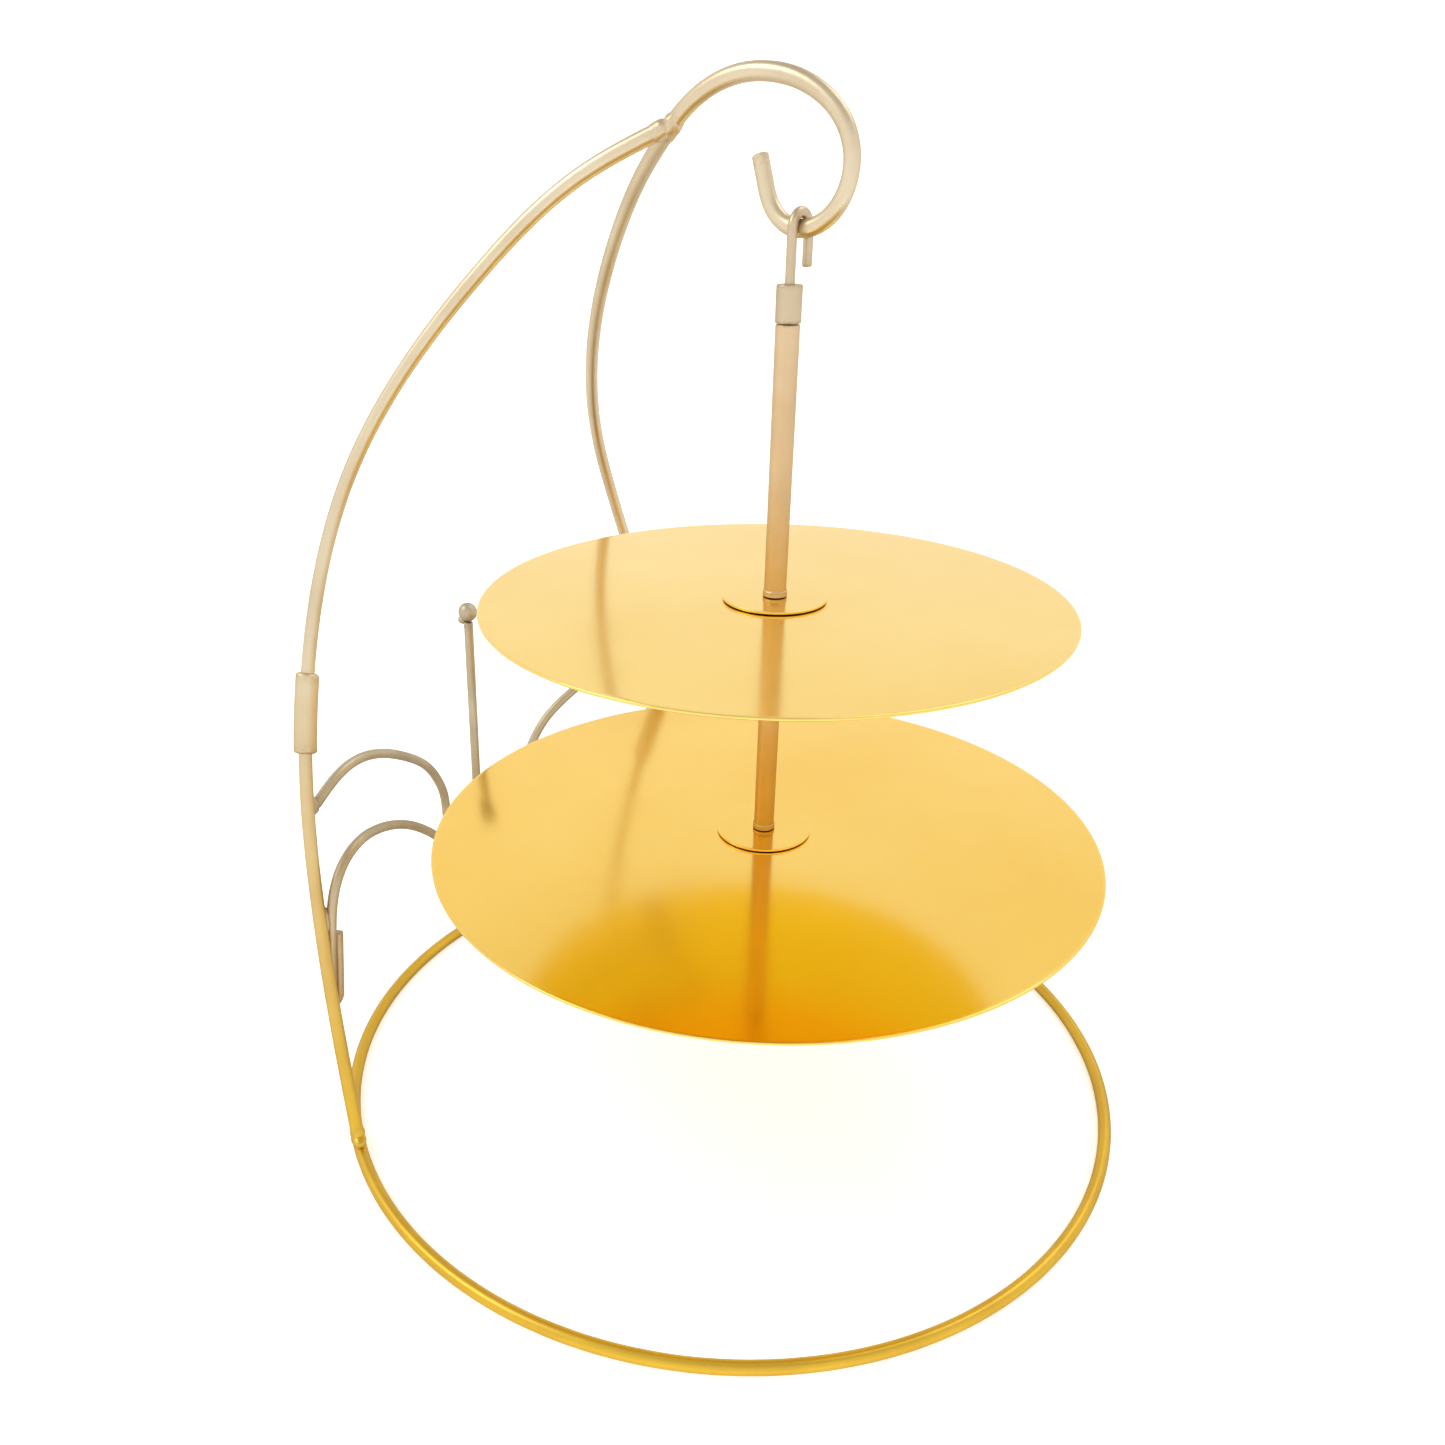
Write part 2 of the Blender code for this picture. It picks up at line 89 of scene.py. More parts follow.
studio = {
    "floorRadius": 1.3,
    "coveRadius": 0.7,  # the floor curves up into a wall all round
    "coveSteps": 12,
    "wallHeight": 2.6,
    "steps": 96,
    "seam": 0.1 * mm,
    "paperColour": (0.82, 0.815, 0.81),
    "tableColour": (0.62, 0.61, 0.60),  # what the metal sees below it, near the stand
    "tableRadius": (0.2, 0.6),  # fades from the table to the paper
    "paperRough": 0.85,
    "paperShine": 0.1,
    "glow": (0.18, 0.235, 0.55),  # light through the table, the paper and the paper in view
    "frontGlow": 1.05,  # a bright card lies on the table before the stand
    "frontWay": (-0.81, -0.58, 0.0),
    "frontReach": (-0.05, 0.35),
    "skyColour": (1.0, 0.985, 0.96),
    "skyStrength": 0.6,
    "lamps": (  # place, size, power, colour
        ((-0.9, 0.9, 1.5), 0.9, 6.2, (1, 0.97, 0.93)),
        ((0.9, -0.2, 1.6), 1.0, 4.0, (1, 0.98, 0.95)),
    ),
    "lampAim": (0, 0, 0.15),
}


# Short ways to build node trees


class NodeSheet:
    def __init__(self, tree):
        self.tree = tree

    def add(self, kind, values=None, **settings):
        node = self.tree.nodes.new(kind)
        for key, value in settings.items():
            setattr(node, key, value)
        for key, value in (values or {}).items():
            if isinstance(value, bpy.types.NodeSocket):
                self.tree.links.new(value, node.inputs[key])
            else:
                node.inputs[key].default_value = value
        return node

    def maths(self, operation, *values, clamp=False):
        node = self.add("ShaderNodeMath", dict(enumerate(values)), operation=operation)
        node.use_clamp = clamp
        return node.outputs[0]

    def contrast(self, value, gain):
        # Spreads a value about one half.
        return self.maths("MULTIPLY_ADD", value, gain, 0.5 - gain / 2, clamp=True)

    def mix(self, share, first, second, blend="MIX"):
        # Sockets 0, 6 and 7 are a colour mix's factor and its two colours.
        values = {0: share, 6: first, 7: second}
        return self.add("ShaderNodeMix", values, data_type="RGBA", blend_type=blend).outputs[2]

    def noise(self, place, scale, detail, rough=0.5):
        node = self.add("ShaderNodeTexNoise", {
            "Vector": place, "Scale": scale, "Detail": detail, "Roughness": rough,
        })
        return node.outputs[0]


def startGroup(name, kind, inputs, outputs):
    tree = bpy.data.node_groups.new(name, kind)
    for label, (socketType, value) in inputs.items():
        socket = tree.interface.new_socket(label, in_out="INPUT", socket_type=socketType)
        if value is not None:
            socket.default_value = value
    for label, socketType in outputs.items():
        tree.interface.new_socket(label, in_out="OUTPUT", socket_type=socketType)
    sheet = NodeSheet(tree)
    return sheet, sheet.add("NodeGroupInput").outputs, sheet.add("NodeGroupOutput").inputs


def principled(material):
    return next(node for node in material.node_tree.nodes if node.type == "BSDF_PRINCIPLED")


def makePaper(s):
    # Pale where the camera looks; near the stand the metal sees a dimmer table.
    paper = bpy.data.materials.new("palePaper")
    paper.use_nodes = True
    sheet = NodeSheet(paper.node_tree)
    shader = principled(paper)
    place = sheet.add("ShaderNodeTexCoord").outputs["Object"]
    reach = sheet.add("ShaderNodeVectorMath", {0: place}, operation="LENGTH").outputs["Value"]
    tableGlow, paperGlow, viewGlow = s["glow"]

    def outward(first, last):  # from the table's value to the paper's
        return sheet.add("ShaderNodeMapRange", {
            "Value": reach, "From Min": s["tableRadius"][0], "From Max": s["tableRadius"][1],
            "To Min": first, "To Max": last,
        }).outputs[0]

    ahead = sheet.add(
        "ShaderNodeVectorMath", {0: place, 1: s["frontWay"]}, operation="DOT_PRODUCT"
    ).outputs["Value"]
    card = sheet.add("ShaderNodeMapRange", {
        "Value": ahead, "From Min": s["frontReach"][0], "From Max": s["frontReach"][1],
        "To Min": tableGlow, "To Max": s["frontGlow"],
    }, interpolation_type="SMOOTHSTEP").outputs[0]
    seen = sheet.add("ShaderNodeLightPath").outputs["Is Camera Ray"]
    pale = sheet.maths("MAXIMUM", outward(0.0, 1.0), seen)
    colour = sheet.mix(pale, (*s["tableColour"], 1), (*s["paperColour"], 1))
    glow = sheet.maths("MAXIMUM", outward(card, paperGlow), sheet.maths("MULTIPLY", seen, viewGlow))
    sheet.tree.links.new(colour, shader.inputs["Base Color"])
    sheet.tree.links.new(glow, shader.inputs["Emission Strength"])
    shader.inputs["Emission Color"].default_value = (1, 1, 1, 1)
    shader.inputs["Roughness"].default_value = s["paperRough"]
    shader.inputs["Specular IOR Level"].default_value = s["paperShine"]
    return paper


def makeStage(s):
    outline = [(0.0, 0.0), (s["floorRadius"], 0.0)]
    for angle in np.linspace(0, math.pi / 2, s["coveSteps"] + 1)[1:]:
        outline.append((
            s["floorRadius"] + s["coveRadius"] * math.sin(angle),
            s["coveRadius"] * (1 - math.cos(angle)),
        ))
    outline.append((s["floorRadius"] + s["coveRadius"], s["wallHeight"]))
    bm = bmesh.new()
    corners = [bm.verts.new((radius, 0, height)) for radius, height in outline]
    edges = [bm.edges.new(pair) for pair in zip(corners, corners[1:])]
    whole = 2 * math.pi
    bmesh.ops.spin(bm, geom=corners + edges, axis=(0, 0, 1), steps=s["steps"], angle=whole)
    bmesh.ops.remove_doubles(bm, verts=bm.verts, dist=s["seam"])
    bmesh.ops.recalc_face_normals(bm, faces=bm.faces)
    mesh = bpy.data.meshes.new("studioFloor")
    bm.to_mesh(mesh)
    bm.free()
    mesh.shade_smooth()
    floor = bpy.data.objects.new("studioFloor", mesh)
    bpy.context.scene.collection.objects.link(floor)
    mesh.materials.append(makePaper(s))

    world = bpy.data.worlds.new("softSky")
    world.use_nodes = True
    sky = world.node_tree.nodes["Background"]
    sky.inputs["Color"].default_value = (*s["skyColour"], 1)
    sky.inputs["Strength"].default_value = s["skyStrength"]
    bpy.context.scene.world = world
    for number, (place, size, power, colour) in enumerate(s["lamps"]):
        data = bpy.data.lights.new(f"lamp{number}", "AREA")
        data.shape = "DISK"
        data.size, data.energy, data.color = size, power, colour
        lamp = bpy.data.objects.new(data.name, data)
        lamp.location = place
        aim = Vector(s["lampAim"]) - Vector(place)
        lamp.rotation_euler = aim.to_track_quat("-Z", "Y").to_euler()
        bpy.context.scene.collection.objects.link(lamp)
    bpy.context.scene.view_settings.view_transform = "Standard"


makeStage(studio)
print("camera, floor and light made")

# Shared shader groups


def makePaintToneAndShade():
    # Slow drifts and fine specks in the tint of a sprayed metallic paint, with painted shade towards
    # the foot and on faces turned down.
    sheet, given, result = startGroup("paintToneAndShade", "ShaderNodeTree", {
        "Light": ("NodeSocketColor", (1, 1, 1, 1)),
        "Deep": ("NodeSocketColor", (0.5, 0.5, 0.5, 1)),
        "Foot Painted Shade": ("NodeSocketColor", (1, 1, 1, 1)),
        "Foot Painted Shade Fade": ("NodeSocketFloat", 0.2),
        "Under Painted Shade": ("NodeSocketColor", (1, 1, 1, 1)),
        "Drift Scale": ("NodeSocketFloat", 20.0),
        "Speck Scale": ("NodeSocketFloat", 2500.0),
        "Speck Share": ("NodeSocketFloat", 0.3),
    }, {"Colour": "NodeSocketColor", "Specks": "NodeSocketFloat", "Drift": "NodeSocketFloat"})
    place = sheet.add("ShaderNodeTexCoord").outputs["Object"]
    drift = sheet.noise(place, given["Drift Scale"], 3.0)
    specks = sheet.noise(place, given["Speck Scale"], 1.0, 0.6)
    evenDrift = sheet.contrast(drift, 1.6)
    speckPart = sheet.maths("MULTIPLY", specks, given["Speck Share"])
    share = sheet.maths("ADD", evenDrift, speckPart, clamp=True)
    tone = sheet.mix(share, given["Light"], given["Deep"])
    # Painted light and shade: the tint deepens and warms towards the foot, where gold light reflected
    # from the plates falls, and deepens on faces turned down.
    height = sheet.add("ShaderNodeSeparateXYZ", {"Vector": place}).outputs["Z"]
    rise = sheet.add("ShaderNodeMapRange", {
        "Value": height, "From Min": 0.0, "From Max": given["Foot Painted Shade Fade"],
    }, interpolation_type="SMOOTHSTEP").outputs[0]
    foot = sheet.mix(rise, given["Foot Painted Shade"], (1, 1, 1, 1))
    # Painted shade underneath: faces turned down take the deeper under tint.
    normal = sheet.add("ShaderNodeNewGeometry").outputs["Normal"]
    upward = sheet.add("ShaderNodeSeparateXYZ", {"Vector": normal}).outputs["Z"]
    shadedBelow = sheet.maths("MULTIPLY_ADD", upward, -2.0, -1.0, clamp=True)  # 1 facing down
    under = sheet.mix(shadedBelow, (1, 1, 1, 1), given["Under Painted Shade"])
    shadedTone = sheet.mix(1.0, tone, foot, "MULTIPLY")
    sheet.tree.links.new(sheet.mix(1.0, shadedTone, under, "MULTIPLY"), result["Colour"])
    sheet.tree.links.new(specks, result["Specks"])
    sheet.tree.links.new(evenDrift, result["Drift"])
    return sheet.tree


def makeSurfaceGrain():
    # The paint's orange peel and the slow waves of rolled sheet or drawn rod, as one height.
    sheet, given, result = startGroup("surfaceGrain", "ShaderNodeTree", {
        "Peel Scale": ("NodeSocketFloat", 900.0),
        "Peel": ("NodeSocketFloat", 1.0),
        "Wave Scale": ("NodeSocketFloat", 12.0),
        "Wave": ("NodeSocketFloat", 1.0),
    }, {"Height": "NodeSocketFloat"})
    place = sheet.add("ShaderNodeTexCoord").outputs["Object"]
    peel = sheet.maths("MULTIPLY", sheet.noise(place, given["Peel Scale"], 2.0), given["Peel"])
    wave = sheet.maths("MULTIPLY", sheet.noise(place, given["Wave Scale"], 1.0, 0.3), given["Wave"])
    sheet.tree.links.new(sheet.maths("ADD", peel, wave), result["Height"])
    return sheet.tree


def makeEdgeWear():
    # Worn rims: the mesh's own "edge" attribute, broken up by noise.
    sheet, given, result = startGroup("edgeWear", "ShaderNodeTree", {
        "Amount": ("NodeSocketFloat", 0.5),
        "Scale": ("NodeSocketFloat", 600.0),
    }, {"Mask": "NodeSocketFloat"})
    place = sheet.add("ShaderNodeTexCoord").outputs["Object"]
    edge = sheet.add("ShaderNodeAttribute", attribute_name="edge").outputs["Fac"]
    patches = sheet.noise(place, given["Scale"], 3.0)
    broken = sheet.maths("MULTIPLY", edge, sheet.contrast(patches, 2.4))
    mask = sheet.maths("MULTIPLY", broken, given["Amount"], clamp=True)
    sheet.tree.links.new(mask, result["Mask"])
    return sheet.tree


def makeDustFilm():
    # A thin film on what faces up.
    sheet, given, result = startGroup("dustFilm", "ShaderNodeTree", {
        "Amount": ("NodeSocketFloat", 0.1),
        "Scale": ("NodeSocketFloat", 60.0),
    }, {"Mask": "NodeSocketFloat"})
    normal = sheet.add("ShaderNodeNewGeometry").outputs["Normal"]
    upward = sheet.add("ShaderNodeSeparateXYZ", {"Vector": normal}).outputs["Z"]
    facing = sheet.maths("MULTIPLY_ADD", upward, 1.5, -0.5, clamp=True)  # 1 facing up
    place = sheet.add("ShaderNodeTexCoord").outputs["Object"]
    cloud = sheet.contrast(sheet.noise(place, given["Scale"], 5.0, 0.65), 2.0)
    film = sheet.maths("MULTIPLY", facing, cloud)
    sheet.tree.links.new(sheet.maths("MULTIPLY", film, given["Amount"]), result["Mask"])
    return sheet.tree


shaderGroups = {
    "paintToneAndShade": makePaintToneAndShade(),
    "surfaceGrain": makeSurfaceGrain(),
    "edgeWear": makeEdgeWear(),
    "dustFilm": makeDustFilm(),
}

sprayed = {  # what the painted rods, posts and fittings share
    "slot": "satin_gold",
    # Painted shade: the under tint darkens the faces turned down.
    "under": (0.95, 0.9, 0.8),
    "metallic": 0.95, "roughness": 0.27, "roughSpread": 0.12, "cloud": 0.04,
    "drift": 45.0, "specks": 2600.0, "speckShare": 0.4,
    "peel": 1.0, "peelScale": 1500.0, "wave": 0.5, "waveScale": 120.0, "bump": 0.16,
    "wear": 0.45, "wearScale": 900.0, "dust": 0.06,
    "coat": 1.0, "coatRough": 0.2, "coatTint": (0.86, 0.82, 0.76), "coatIor": 1.06,
}

# In each finish the foot tint and the under tint are painted light and shade: the tint deepens and
# warms towards the foot, and deepens on faces turned down.
finishes = {
    "plateGold": {
        "slot": "gloss_gold",
        "light": (1.0, 0.76, 0.25), "deep": (0.93, 0.65, 0.14), "worn": (1.0, 0.76, 0.3),
        # Painted shade: the plates' undersides take a deep saturated gold, which shows in their
        # reflections.
        "foot": (1, 0.84, 0.42), "footShadeFade": 0.3, "under": (1, 1.16, 0.18),
        "metallic": 1.0, "roughness": 0.08, "roughSpread": 0.05, "cloud": 0.07,
        "drift": 11.0, "specks": 3000.0, "speckShare": 0.12,
        "peel": 0.02, "peelScale": 1200.0, "wave": 1.0, "waveScale": 9.0, "bump": 0.06,
        "wear": 0.35, "wearScale": 500.0, "dust": 0.03,
        "coat": 0.1, "coatRough": 0.06, "coatTint": (1, 1, 1), "coatIor": 1.5,
    },
    "rodGold": {
        **sprayed,
        "light": (1.0, 0.93, 0.73), "deep": (0.84, 0.74, 0.56), "worn": (0.58, 0.44, 0.26),
        "foot": (1.0, 0.74, 0.10), "footShadeFade": 0.2,
    },
    "postGold": {
        **sprayed,
        "light": (0.98, 0.80, 0.60), "deep": (0.82, 0.64, 0.42), "worn": (0.58, 0.42, 0.20),
        "foot": (1.0, 0.72, 0.0), "footShadeFade": 0.34,
    },
    "fittingGold": {
        **sprayed,
        "light": (0.90, 0.80, 0.63), "deep": (0.74, 0.63, 0.46), "worn": (0.48, 0.36, 0.19),
        "foot": (1.0, 0.7, 0.3), "footShadeFade": 0.2,
        "roughness": 0.3, "drift": 60.0, "bump": 0.18, "wear": 0.5,
    },
    "agedGold": {
        **sprayed,
        "slot": "aged_gold",
        "light": (0.82, 0.76, 0.63), "deep": (0.62, 0.56, 0.43), "worn": (0.36, 0.27, 0.16),
        "foot": (1.0, 0.72, 0.36), "footShadeFade": 0.13,
        "roughness": 0.33, "roughSpread": 0.14, "drift": 60.0, "speckShare": 0.45,
        "wave": 0.6, "waveScale": 150.0, "bump": 0.2,
        "wear": 0.5, "dust": 0.08, "coatRough": 0.25,
    },
}

filmSettings = {
    "dustColour": (0.8, 0.76, 0.68),
    "wornRough": 0.25,
    "bumpReach": 0.2 * mm,
}


def makeFinish(name, s):
    material = bpy.data.materials.new(name)
    material.use_nodes = True
    sheet = NodeSheet(material.node_tree)
    shader = principled(material)

    def placed(label, values):
        node = sheet.add("ShaderNodeGroup", node_tree=shaderGroups[label])
        for key, value in values.items():
            node.inputs[key].default_value = value
        return node.outputs

    # The tone carries painted light and shade towards the foot and on faces turned down.
    tone = placed("paintToneAndShade", {
        "Light": (*s["light"], 1), "Deep": (*s["deep"], 1), "Drift Scale": s["drift"],
        "Foot Painted Shade": (*s["foot"], 1), "Foot Painted Shade Fade": s["footShadeFade"], "Under Painted Shade": (*s["under"], 1),
        "Speck Scale": s["specks"], "Speck Share": s["speckShare"],
    })
    grain = placed("surfaceGrain", {
        "Peel Scale": s["peelScale"], "Peel": s["peel"],
        "Wave Scale": s["waveScale"], "Wave": s["wave"],
    })
    wear = placed("edgeWear", {"Amount": s["wear"], "Scale": s["wearScale"]})
    dust = placed("dustFilm", {"Amount": s["dust"]})

    worn = sheet.mix(wear["Mask"], tone["Colour"], (*s["worn"], 1))
    dusty = sheet.mix(dust["Mask"], worn, (*filmSettings["dustColour"], 1))
    sheet.tree.links.new(dusty, shader.inputs["Base Color"])
    rough = sheet.maths("MULTIPLY_ADD", tone["Specks"], s["roughSpread"], s["roughness"])
    rough = sheet.maths("MULTIPLY_ADD", tone["Drift"], s["cloud"], rough)
    rough = sheet.maths("MULTIPLY_ADD", wear["Mask"], filmSettings["wornRough"], rough)
    rough = sheet.maths("ADD", dust["Mask"], rough, clamp=True)
    sheet.tree.links.new(rough, shader.inputs["Roughness"])
    bump = sheet.add("ShaderNodeBump", {
        "Height": grain["Height"], "Strength": s["bump"], "Distance": filmSettings["bumpReach"],
    })
    sheet.tree.links.new(bump.outputs[0], shader.inputs["Normal"])
    shader.inputs["Metallic"].default_value = s["metallic"]
    shader.inputs["Coat Weight"].default_value = s["coat"]
    shader.inputs["Coat Roughness"].default_value = s["coatRough"]
    shader.inputs["Coat IOR"].default_value = s["coatIor"]
    shader.inputs["Coat Tint"].default_value = (*s["coatTint"], 1)  # deeper seen aslant
    return material


materials = {name: makeFinish(name, s) for name, s in finishes.items()}
print("finishes made:", ", ".join(materials))

# Pieces of node tree that the rods and the weld beads share


def pushedOut(sheet, geometry, noise, middle, reach):
    # Moves points along their normals by how far the noise is from its middle.
    swing = sheet.maths("MULTIPLY", sheet.maths("SUBTRACT", noise, middle), reach)
    normal = sheet.add("GeometryNodeInputNormal").outputs[0]
    away = sheet.add("ShaderNodeVectorMath", {0: normal}, operation="SCALE")
    sheet.tree.links.new(swing, away.inputs["Scale"])
    return sheet.add("GeometryNodeSetPosition", {
        "Geometry": geometry, "Offset": away.outputs[0],
    }).outputs[0]


def withEdge(sheet, geometry, value):
    # Keeps a value as the "edge" attribute that the finishes' wear reads.
    return sheet.add("GeometryNodeStoreNamedAttribute", {
        "Geometry": geometry, "Name": "edge", "Value": value,
    }, data_type="FLOAT", domain="POINT").outputs[0]


def smoothed(sheet, geometry, share, domain):
    return sheet.add("GeometryNodeSetShadeSmooth", {
        "Geometry": geometry, "Shade Smooth": share,
    }, domain=domain).outputs[0]


def finished(sheet, geometry, finish, result):
    coated = sheet.add("GeometryNodeSetMaterial", {"Geometry": geometry, "Material": finish})
    sheet.tree.links.new(coated.outputs[0], result["Geometry"])


# Rods, swept along the frame's own centrelines by Geometry Nodes

rodTreeSettings = {
    "endWear": 4 * mm,  # how far wear runs in from a cut end
    "capShrink": (0.92, 0.82),  # two short steps round the cut ends
    "rippleScale": 90.0,
    "rippleDetail": 2.0,
    "sharpAngle": 0.75,
}


def makeRodTree(s):
    sheet, given, result = startGroup("sweptRod", "GeometryNodeTree", {
        "Geometry": ("NodeSocketGeometry", None),
        "Radius": ("NodeSocketFloat", 0.0025),
        "Sides": ("NodeSocketInt", 28),
        "Spacing": ("NodeSocketFloat", 0.0008),
        "Rim": ("NodeSocketFloat", 0.0003),
        "Waviness": ("NodeSocketFloat", 0.00004),
        "Finish": ("NodeSocketMaterial", None),
    }, {"Geometry": "NodeSocketGeometry"})
    add, maths = sheet.add, sheet.maths
    line = add("GeometryNodeMeshToCurve", {"Mesh": given["Geometry"]}).outputs[0]
    smooth = add("GeometryNodeCurveSplineType", {"Curve": line}, spline_type="CATMULL_ROM")
    fine = add("GeometryNodeResampleCurve", {
        "Curve": smooth.outputs[0], "Length": given["Spacing"],
    }, mode="LENGTH").outputs[0]

    # How near each point is to a cut end; a closed rod has none.
    along = add("GeometryNodeSplineParameter").outputs["Length"]
    whole = add("GeometryNodeSplineLength").outputs["Length"]
    toEnd = maths("MINIMUM", along, maths("SUBTRACT", whole, along))
    nearEnd = maths("MULTIPLY_ADD", toEnd, -1 / s["endWear"], 1.0, clamp=True)
    isOpen = maths("SUBTRACT", 1.0, add("GeometryNodeInputSplineCyclic").outputs[0])
    marked = withEdge(sheet, fine, maths("MULTIPLY", nearEnd, isOpen))

    section = add("GeometryNodeCurvePrimitiveCircle", {
        "Resolution": given["Sides"], "Radius": given["Radius"],
    }, mode="RADIUS").outputs[0]
    shape = add("GeometryNodeCurveToMesh", {
        "Curve": marked, "Profile Curve": section, "Fill Caps": True,
    }).outputs[0]
    for shrink in s["capShrink"]:
        corners = add("GeometryNodeInputMeshFaceNeighbors").outputs["Vertex Count"]
        isCap = add(
            "FunctionNodeCompare", {2: corners, 3: 4}, data_type="INT", operation="GREATER_THAN"
        ).outputs[0]
        grown = add("GeometryNodeExtrudeMesh", {
            "Mesh": shape, "Selection": isCap, "Individual": False,
            "Offset Scale": maths("MULTIPLY", given["Rim"], 0.5),
        }, mode="FACES")
        shape = add("GeometryNodeScaleElements", {
            "Geometry": grown.outputs["Mesh"], "Selection": grown.outputs["Top"], "Scale": shrink,
        }, domain="FACE").outputs[0]

    # Slight unevenness of a hand-bent rod.
    ripple = add("ShaderNodeTexNoise", {"Scale": s["rippleScale"], "Detail": s["rippleDetail"]})
    uneven = pushedOut(sheet, shape, ripple.outputs[0], 0.5, given["Waviness"])

    bend = add("GeometryNodeInputMeshEdgeAngle").outputs["Unsigned Angle"]
    isSoft = add(
        "FunctionNodeCompare", {0: bend, 1: s["sharpAngle"]}, data_type="FLOAT", operation="LESS_THAN"
    ).outputs[0]
    shaded = smoothed(sheet, smoothed(sheet, uneven, True, "FACE"), isSoft, "EDGE")
    real = add("GeometryNodeRealizeInstances", {"Geometry": shaded}).outputs[0]
    finished(sheet, real, given["Finish"], result)
    return sheet.tree


rodTree = makeRodTree(rodTreeSettings)


def settled(name, holder):
    # The holder's evaluated mesh as a plain object; the holder goes.
    evaluated = holder.evaluated_get(bpy.context.evaluated_depsgraph_get())
    mesh = bpy.data.meshes.new_from_object(evaluated)
    mesh.name = name
    bpy.data.objects.remove(holder)
    piece = bpy.data.objects.new(name, mesh)
    bpy.context.scene.collection.objects.link(piece)
    return piece


def shapedBy(tree, name, mesh, values):
    # Runs a tree on a mesh, with its inputs set by name.
    holder = bpy.data.objects.new(name + "Line", mesh)
    bpy.context.scene.collection.objects.link(holder)
    modifier = holder.modifiers.new("shape", "NODES")
    modifier.node_group = tree
    for item in tree.interface.items_tree:
        if item.item_type == "SOCKET" and item.in_out == "INPUT" and item.name in values:
            modifier[item.identifier] = values[item.name]
    return settled(name, holder)


def linePiece(name, points, values, closed=False):
    mesh = bpy.data.meshes.new(name + "Line")
    links = [(i, i + 1) for i in range(len(points) - 1)]
    if closed:
        links.append((len(points) - 1, 0))
    mesh.from_pydata([tuple(point) for point in points], links, [])
    return shapedBy(rodTree, name, mesh, values)


def standFor(piece, finish, body, *nodes):
    if not piece.data.materials or piece.data.materials[0] != materials[finish]:
        piece.data.materials.clear()
        piece.data.materials.append(materials[finish])
    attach(piece, body)
    if nodes:
        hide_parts(*nodes)


ringFinder = {
    "sides": 8,
    "merge": 0.01 * mm,
    "flat": math.radians(0.3),
    "same": 0.02 * mm,
}


def rodRings(node, s):
    # A packed rod's rings of corners, from one flat end to the other.
    bm = bmesh.new()
    bm.from_mesh(cadNodes[node].data)
    bmesh.ops.remove_doubles(bm, verts=bm.verts, dist=s["merge"])
    bm.verts.index_update()
    flat = bm.copy()
    bmesh.ops.dissolve_limit(flat, angle_limit=s["flat"], verts=flat.verts, edges=flat.edges)
    ends = [face for face in flat.faces if len(face.verts) == s["sides"]]

    def unround(face):  # 0 for an end's even polygon
        reach = [(corner.co - face.calc_center_median()).length for corner in face.verts]
        return max(reach) - min(reach)

    corners = [corner.co.copy() for corner in min(ends, key=unround).verts]
    flat.free()
    ring = {v for v in bm.verts if min((v.co - corner).length for corner in corners) < s["same"]}
    seen, rings = set(ring), []
    while ring:
        rings.append([v.co.copy() for v in sorted(ring, key=lambda v: v.index)])
        ring = {edge.other_vert(v) for v in ring for edge in v.link_edges} - seen
        seen |= ring
    bm.free()
    return rings


def centreline(node):
    rings = rodRings(node, ringFinder)
    line = [sum(ring, Vector()) / len(ring) for ring in rings]
    return line, (rings[0][0] - line[0]).length


def upwardLine(node):
    line, radius = centreline(node)
    return (line if line[0].z < line[-1].z else line[::-1]), radius


def shortened(line, cut):
    # Both ends pulled in, to leave room for the rounded rim.
    line = [point.copy() for point in line]
    line[0] += (line[1] - line[0]).normalized() * cut
    line[-1] += (line[-2] - line[-1]).normalized() * cut
    return line


rodSettings = {
    "sides": 28,
    "spacing": 0.8 * mm,
    "rim": 0.35 * mm,
    "waviness": 0.12 * mm,
    "armReach": {"left": 3.4 * mm, "right": 4.6 * mm},  # the arms' ends run into the weld
}


def makeRod(name, node, finish, body, line=None, radius=None):
    if line is None:
        line, radius = centreline(node)
    s = rodSettings
    piece = linePiece(name, shortened(line, s["rim"]), {
        "Radius": radius, "Sides": s["sides"], "Spacing": s["spacing"], "Rim": s["rim"],
        "Waviness": s["waviness"], "Finish": materials[finish],
    })
    standFor(piece, finish, body, node)


for side in ("left", "right"):
    line, radius = upwardLine(f"{side}_arm")
    line.append(line[-1] + (line[-1] - line[-2]).normalized() * rodSettings["armReach"][side])
    makeRod(f"{side}ArmRod", f"{side}_arm", "rodGold", "frame", line, radius)
    makeRod(f"{side}UprightRod", f"{side}_upright", "rodGold", "frame")
    makeRod(f"{side}ArchScrollRod", f"{side}_arch_scroll", "agedGold", "frame")
    makeRod(f"{side}CurlScrollRod", f"{side}_curl_scroll", "agedGold", "frame")
makeRod("topHookRod", "top_hook", "rodGold", "frame")
makeRod("centreUprightRod", "centre_rod", "agedGold", "frame")

frameRodRadius = centreline("left_arm")[1]
scrollRodRadius = centreline("centre_rod")[1]
print("rods swept")

ringSettings = {
    "points": 120,
    "sides": 24,
    "spacing": 1.2 * mm,
}


